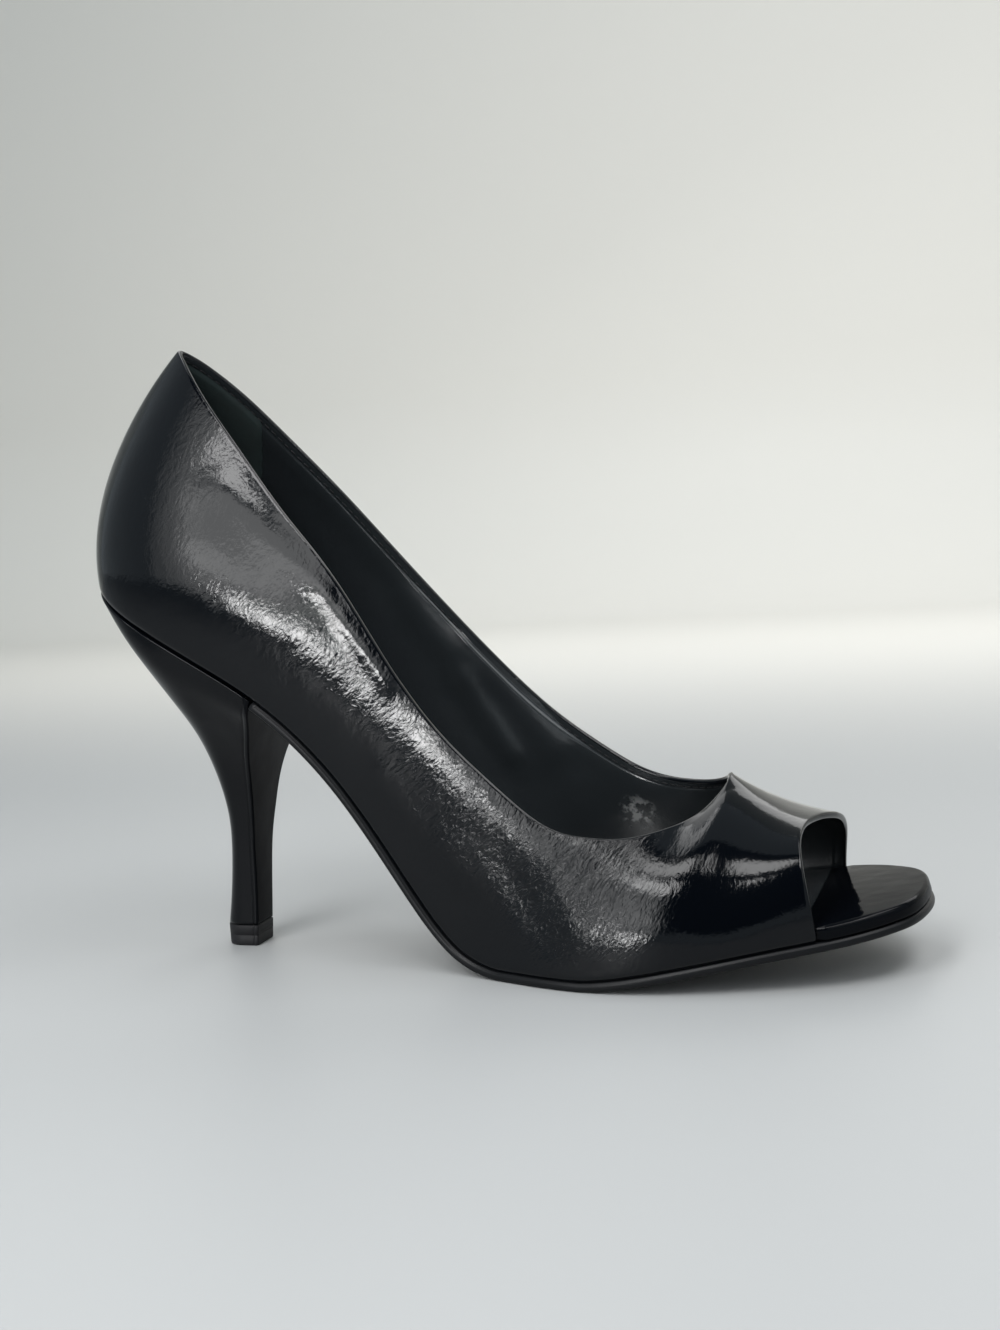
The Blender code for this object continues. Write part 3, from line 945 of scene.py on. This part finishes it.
class Finish:
    """A node material under construction."""

    def __init__(self, name, colour, roughness, specular):
        self.material = bpy.data.materials.new(name)
        self.material.use_nodes = True
        self.tree = self.material.node_tree
        self.shader = self.tree.nodes["Principled BSDF"]
        self.set(self.shader, {
            "Base Color": (*colour, 1.0),
            "Roughness": roughness,
            "Specular IOR Level": specular,
        })

    def set(self, made, inputs):
        """Give a node's inputs numbers, or link them to other nodes' outputs."""
        for name, value in inputs.items():
            if isinstance(value, bpy.types.NodeSocket):
                self.tree.links.new(value, made.inputs[name])
            else:
                made.inputs[name].default_value = value
        return made

    def add(self, kind, inputs, **settings):
        """A new node with its settings and inputs."""
        made = self.tree.nodes.new(kind)
        for name, value in settings.items():
            setattr(made, name, value)
        return self.set(made, inputs)

    def number_math(self, operation, *values):
        """Result of a calculation with numbers."""
        made = self.add("ShaderNodeMath", dict(enumerate(values)), operation=operation)
        return made.outputs["Value"]

    def vector_math(self, operation, *values):
        """Results of a calculation with places or directions."""
        made = self.add("ShaderNodeVectorMath", dict(enumerate(values)), operation=operation)
        return made.outputs

    def skin_place(self):
        """Millimetres along the shoe and up the side, from the skin's own coordinates."""
        return self.add("ShaderNodeUVMap", {}, uv_map="skin").outputs["UV"]

    def shoe_place(self):
        """Place in the shoe, in millimetres from its centre."""
        found = self.add("ShaderNodeTexCoord", {}).outputs["Object"]
        return self.scaled(found, (1000.0, 1000.0, 1000.0))

    def scaled(self, vector, scale):
        """A place stretched along its three directions."""
        return self.vector_math("MULTIPLY", vector, scale)["Vector"]

    def noise(self, vector, scale, detail=2.0, roughness=0.5, distortion=0.0):
        """Cloudy noise; one over the scale is the size of its spots."""
        inputs = {"Vector": vector, "Scale": scale, "Detail": detail}
        inputs.update({"Roughness": roughness, "Distortion": distortion})
        return self.add("ShaderNodeTexNoise", inputs).outputs["Fac"]

    def warped(self, vector, scale, reach):
        """A place shifted about by noise."""
        made = self.add("ShaderNodeTexNoise", {"Vector": vector, "Scale": scale, "Detail": 1.0})
        moved = self.scaled(made.outputs["Color"], (reach, reach, reach))
        return self.vector_math("ADD", vector, moved)["Vector"]

    def cells(self, vector, scale):
        """Rounded cells, high at the middle of each."""
        made = self.add(
            "ShaderNodeTexVoronoi", {"Vector": vector, "Scale": scale, "Smoothness": 0.6},
            feature="SMOOTH_F1",
        )
        return made.outputs["Distance"]

    def sum(self, *terms):
        """Sum of (socket, factor) terms."""
        total = 0.0
        for value, factor in terms:
            total = self.number_math("MULTIPLY_ADD", value, factor, total)
        return total

    def ramp(self, value, low, high):
        """Smooth step of a value from zero at low to one at high."""
        inputs = {"Value": value, "From Min": low, "From Max": high}
        made = self.add("ShaderNodeMapRange", inputs, interpolation_type="SMOOTHSTEP")
        return made.outputs["Result"]

    def tint(self, share, colour, over):
        """The colour where the share is one, and what it lies over where the share is zero."""
        if isinstance(over, tuple):
            over = (*over, 1.0)
        inputs = {0: share, 6: over, 7: (*colour, 1.0)}
        return self.add("ShaderNodeMix", inputs, data_type="RGBA").outputs[2]

    def relief(self, height, coat=False):
        """Use a height in millimetres as bump, on the coat too if there is one."""
        made = self.add("ShaderNodeBump", {"Height": height, "Distance": MM, "Strength": 1.0})
        self.set(self.shader, {"Normal": made.outputs["Normal"]})
        if coat:
            self.set(self.shader, {"Coat Normal": made.outputs["Normal"]})


def local(point):
    """A point in millimetres from the heel back, as shoe_place() gives it."""
    return tuple(float(value) for value in place([point])[0] / MM)


def quarter_seam(finish):
    """Height of the fine join across the medial side, on both sides of its line."""
    x0, z0, x1, z1 = QUARTER_SEAM
    length = math.hypot(x1 - x0, z1 - z0)
    square = Vector(((z1 - z0) / length, 0.0, (x0 - x1) / length))
    at = finish.shoe_place()
    across = finish.vector_math("DOT_PRODUCT", at, square)["Value"]
    ahead = finish.number_math("SUBTRACT", across, square.dot(Vector(local((x0, 0.0, z0)))))
    away = finish.number_math("ABSOLUTE", ahead)
    side = finish.add("ShaderNodeSeparateXYZ", {"Vector": at}).outputs["Y"]
    rise, fade = finish.ramp(ahead, -0.3, 0.3), finish.ramp(ahead, 12.0, 1.0)
    overlap = finish.number_math("MULTIPLY", rise, fade)
    height = finish.sum((finish.ramp(away, 0.5, 0.1), -0.25), (overlap, 0.12))
    return finish.number_math("MULTIPLY", height, finish.ramp(side, 2.0, 3.0))


def crinkled_patent():
    """Black patent with fine wrinkles round the shoe, stronger at the ball and the arch."""
    finish = Finish("crinkled_patent", PATENT_BLACK, 0.34, 0.0)
    finish.set(finish.shader, {"Coat Weight": 1.0, "Coat Roughness": 0.08, "Coat IOR": 1.32})
    skin_at = finish.skin_place()
    stretched = finish.scaled(skin_at, (1.0, 0.62, 1.0))
    bent = finish.warped(stretched, scale=0.2, reach=3.0)
    fine = finish.noise(bent, 1.25, detail=3.0, roughness=0.55, distortion=0.4)
    cells = finish.cells(bent, 0.75)
    broad = finish.noise(finish.shoe_place(), 0.11, detail=1.0)
    strength = finish.add("ShaderNodeAttribute", {}, attribute_name="crinkle").outputs["Fac"]
    wrinkles = finish.number_math("MULTIPLY", finish.sum((fine, 0.20), (cells, 0.10)), strength)
    seam = quarter_seam(finish)
    finish.relief(finish.sum((wrinkles, 1.0), (broad, 0.12), (seam, 1.0)), coat=True)
    return finish.material


def smooth_patent(name, coat):
    """Black patent with only a slight ripple, as glossy as the weight of its coat."""
    finish = Finish(name, COVER_BLACK, 0.34, 0.0)
    finish.set(finish.shader, {"Coat Weight": coat, "Coat Roughness": 0.08, "Coat IOR": 1.28})
    at = finish.shoe_place()
    fine = finish.noise(at, 0.8)
    broad = finish.noise(at, 0.12, detail=1.0)
    finish.relief(finish.sum((fine, 0.02), (broad, 0.18)), coat=True)
    return finish.material


def black_lining():
    """Semi-matte black leather with a pale worn patch at the ball."""
    finish = Finish("black_lining", LINING_BLACK, 0.24, 1.0)
    at = finish.shoe_place()
    blotch = finish.noise(at, 0.42, detail=3.0, roughness=0.6)
    gap = finish.vector_math("DISTANCE", at, local(SCUFF))["Value"]
    near = finish.ramp(gap, SCUFF_REACH, SCUFF_CORE)
    worn = finish.number_math("MULTIPLY", near, finish.ramp(blotch, 0.47, 0.60))
    finish.set(finish.shader, {"Base Color": finish.tint(worn, WORN_GREY, LINING_BLACK)})
    grain = finish.noise(at, 1.6, detail=3.0, roughness=0.6)
    broad = finish.noise(at, 0.12)
    finish.relief(finish.sum((grain, 0.03), (broad, 0.25)))
    return finish.material


def suede_grip():
    """Dark green-black nap of the heel grip."""
    finish = Finish("suede_grip", SUEDE_BLACK, 0.75, 0.3)
    at = finish.shoe_place()
    cloud = finish.noise(at, 0.25)
    finish.set(finish.shader, {
        "Base Color": finish.tint(cloud, *SUEDE_TONES),
        "Sheen Weight": 0.12,
    })
    finish.relief(finish.sum((finish.noise(at, 2.5), 0.04)))
    return finish.material


def matte_black(name, colour, roughness, grain, depth):
    """Matte black with fine grain of the given scale and depth, and slightly uneven tone."""
    finish = Finish(name, colour, roughness, 0.15)
    at = finish.shoe_place()
    cloud = finish.noise(at, 0.2, detail=3.0, roughness=0.6)
    pale = tuple(1.7 * value for value in colour)
    finish.set(finish.shader, {"Base Color": finish.tint(cloud, pale, colour)})
    fine = finish.noise(at, grain, detail=3.0, roughness=0.6)
    finish.relief(finish.sum((fine, depth)))
    return finish.material


def pale_floor():
    """Plain pale satin board under and behind the shoe."""
    finish = Finish("pale_floor", FLOOR_FAR, 0.45, 0.35)
    at = finish.add("ShaderNodeTexCoord", {}).outputs["Object"]
    cloud = finish.noise(at, 1.5)
    away = finish.add("ShaderNodeSeparateXYZ", {"Vector": at}).outputs["Y"]
    near = finish.tint(cloud, *FLOOR_NEAR)
    far = finish.ramp(away, 0.2, 0.9)
    finish.set(finish.shader, {"Base Color": finish.tint(far, FLOOR_FAR, near)})
    return finish.material


def make_floor(material):
    """Floor that turns up into a wall well behind the shoe."""
    profile = [(-FLOOR_HALF, 0.0), (0.0, 0.0)]
    for t in np.linspace(0.0, math.pi / 2.0, 17):
        back = FLOOR_BACK - FLOOR_TURN + FLOOR_TURN * math.sin(t)
        profile.append((back, FLOOR_TURN * (1.0 - math.cos(t))))
    profile.append((FLOOR_BACK, FLOOR_TOP))
    points = [(x, y, z) for y, z in profile for x in (-FLOOR_HALF, FLOOR_HALF)]
    faces = [(2 * i, 2 * i + 1, 2 * i + 3, 2 * i + 2) for i in range(len(profile) - 1)]
    mesh = bpy.data.meshes.new("floor")
    mesh.from_pydata(points, [], faces)
    mesh.materials.append(material)
    mesh.shade_smooth()
    new_object("floor", mesh)


def toward(azimuth, elevation):
    """Direction from the shoe: azimuth from the camera's side towards the toe."""
    a, e = math.radians(azimuth), math.radians(elevation)
    return Vector((math.sin(a) * math.cos(e), -math.cos(a) * math.cos(e), math.sin(e)))


def hang(thing, azimuth, elevation, turn, distance):
    """Place a panel so that its back (+Z) points away from the shoe."""
    away = toward(azimuth, elevation)
    pose = away.to_track_quat("Z", "Y").to_matrix().to_4x4()
    pose = pose @ Matrix.Rotation(math.radians(turn), 4, "Z")
    pose.translation = Vector(LIGHT_CENTRE) + away * distance
    thing.matrix_world = pose


def span(angle, distance):
    """Width of a panel that fills an angle (degrees) at a distance."""
    return 2.0 * distance * math.tan(math.radians(angle) / 2.0)


def make_lights():
    """Soft boxes; the radiance of each is given, so its power follows from its size."""
    for number, row in enumerate(LIGHTS):
        azimuth, elevation, width, height, turn, distance, radiance = row
        data = bpy.data.lights.new(f"soft_box_{number + 1}", "AREA")
        data.shape = "RECTANGLE"
        data.size = span(width, distance)
        data.size_y = span(height, distance)
        data.energy = radiance * math.pi * data.size * data.size_y
        lamp = new_object(data.name, data)
        hang(lamp, azimuth, elevation, turn, distance)
        lamp.visible_camera = False


def make_dark_panels():
    """Black cards beside the lights, which give the leather its deep blacks."""
    card = Finish("black_card", CARD_BLACK, 0.9, 0.0).material
    for number, (azimuth, elevation, width, height, turn) in enumerate(DARK_PANELS):
        x = span(width, DARK_DISTANCE) / 2.0
        y = span(height, DARK_DISTANCE) / 2.0
        mesh = bpy.data.meshes.new(f"black_card_{number + 1}")
        mesh.from_pydata([(-x, -y, 0), (x, -y, 0), (x, y, 0), (-x, y, 0)], [], [(0, 1, 2, 3)])
        mesh.materials.append(card)
        panel = new_object(mesh.name, mesh)
        hang(panel, azimuth, elevation, turn, DARK_DISTANCE)
        panel.visible_camera = False


def make_world():
    """Even pale grey surroundings."""
    world = bpy.data.worlds.new("room")
    world.use_nodes = True
    world.node_tree.nodes["Background"].inputs["Color"].default_value = (*ROOM, 1.0)
    bpy.context.scene.world = world


def make_camera():
    """The photograph's viewing angle, turned onto this one shoe."""
    yaw, pitch, roll = (math.radians(angle) for angle in (YAW, PITCH, ROLL))
    flat = math.cos(pitch)
    ahead = Vector((math.sin(yaw) * flat, math.cos(yaw) * flat, -math.sin(pitch)))
    level = Vector((math.cos(yaw), -math.sin(yaw), 0.0))
    down = ahead.cross(level)
    right = math.cos(roll) * level + math.sin(roll) * down
    down = math.cos(roll) * down - math.sin(roll) * level
    data = bpy.data.cameras.new("camera")
    data.lens = LENS
    data.clip_start = 0.01
    camera = new_object("camera", data)
    pose = Matrix((right, -down, -ahead)).transposed().to_4x4()
    pose.translation = Vector(EYE)
    camera.matrix_world = pose
    bpy.context.scene.camera = camera


def make_shoe():
    """Every piece of the shoe."""
    patent = crinkled_patent()
    cover = smooth_patent("smooth_patent", 1.0)
    dull = smooth_patent("dull_patent", 0.4)
    leather = black_lining()
    thread = matte_black("black_thread", THREAD_BLACK, 0.45, 2.0, 0.03)
    sheet = skin()
    gap = edge_gap(sheet)
    make_upper(sheet, patent, leather)
    make_lining(sheet, gap, leather)
    make_heel_grip(sheet, gap, suede_grip())
    make_stitches(sheet, thread)
    make_insole(dull, leather)
    make_outsole(matte_black("matte_sole", SOLE_BLACK, 0.36, 1.2, 0.02))
    make_heel(cover, dull)
    make_heel_tip(matte_black("matte_plastic", PLASTIC_BLACK, 0.5, 1.0, 0.03))


make_shoe()
make_floor(pale_floor())
make_lights()
make_dark_panels()
make_world()
make_camera()
bpy.context.scene.view_settings.view_transform = "Standard"
